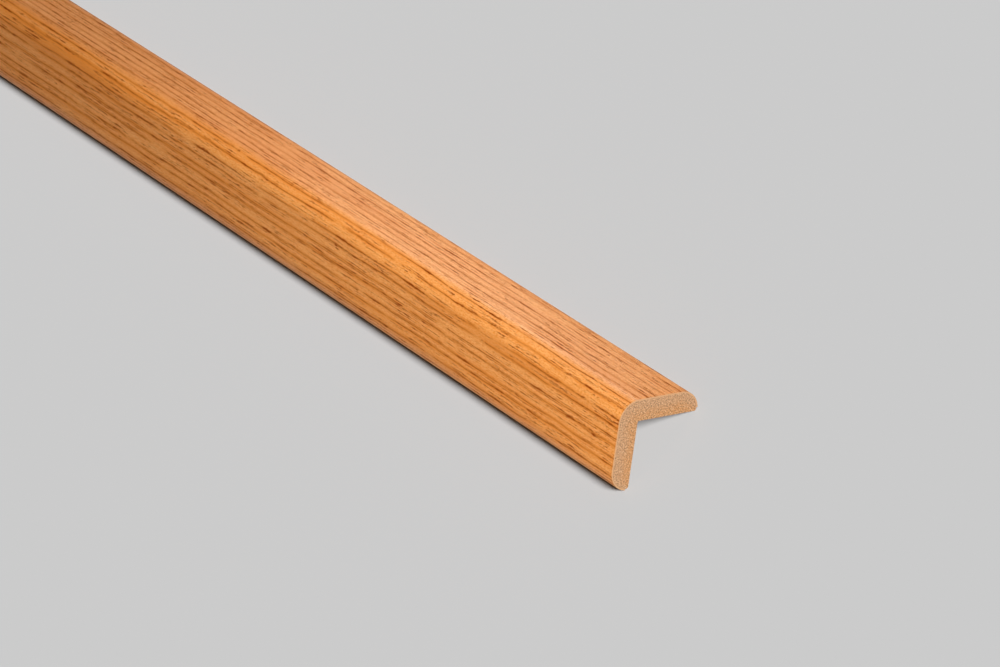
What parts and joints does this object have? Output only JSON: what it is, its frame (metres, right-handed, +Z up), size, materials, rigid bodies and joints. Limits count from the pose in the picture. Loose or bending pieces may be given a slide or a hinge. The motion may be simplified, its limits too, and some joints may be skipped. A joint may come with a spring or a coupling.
{
  "type": "corner angle moulding",
  "caption": "L-shaped outside corner moulding with a rounded ridge and rounded edges, a wood-fibre core wrapped in oak-look veneer, glued over the corner of a wall.",
  "frame": {"origin": "on the floor under the ridge, at mid length", "axes": "+X along the length, +Z up through the ridge, Y across; the two legs slope down at 45 degrees to -Y and +Y"},
  "size_m": [2.4, 0.0304, 0.0191],
  "materials": {
    "mdf": "sawn wood-fibre board, matt, fine fibre speckle",
    "oak_finish": "warm orange oak grain with dark lengthwise pores, satin lacquer"
  },
  "bodies": {
    "root": {"mdf_core": "mdf", "oak_wrap": "oak_finish"}
  },
  "joints": []
}
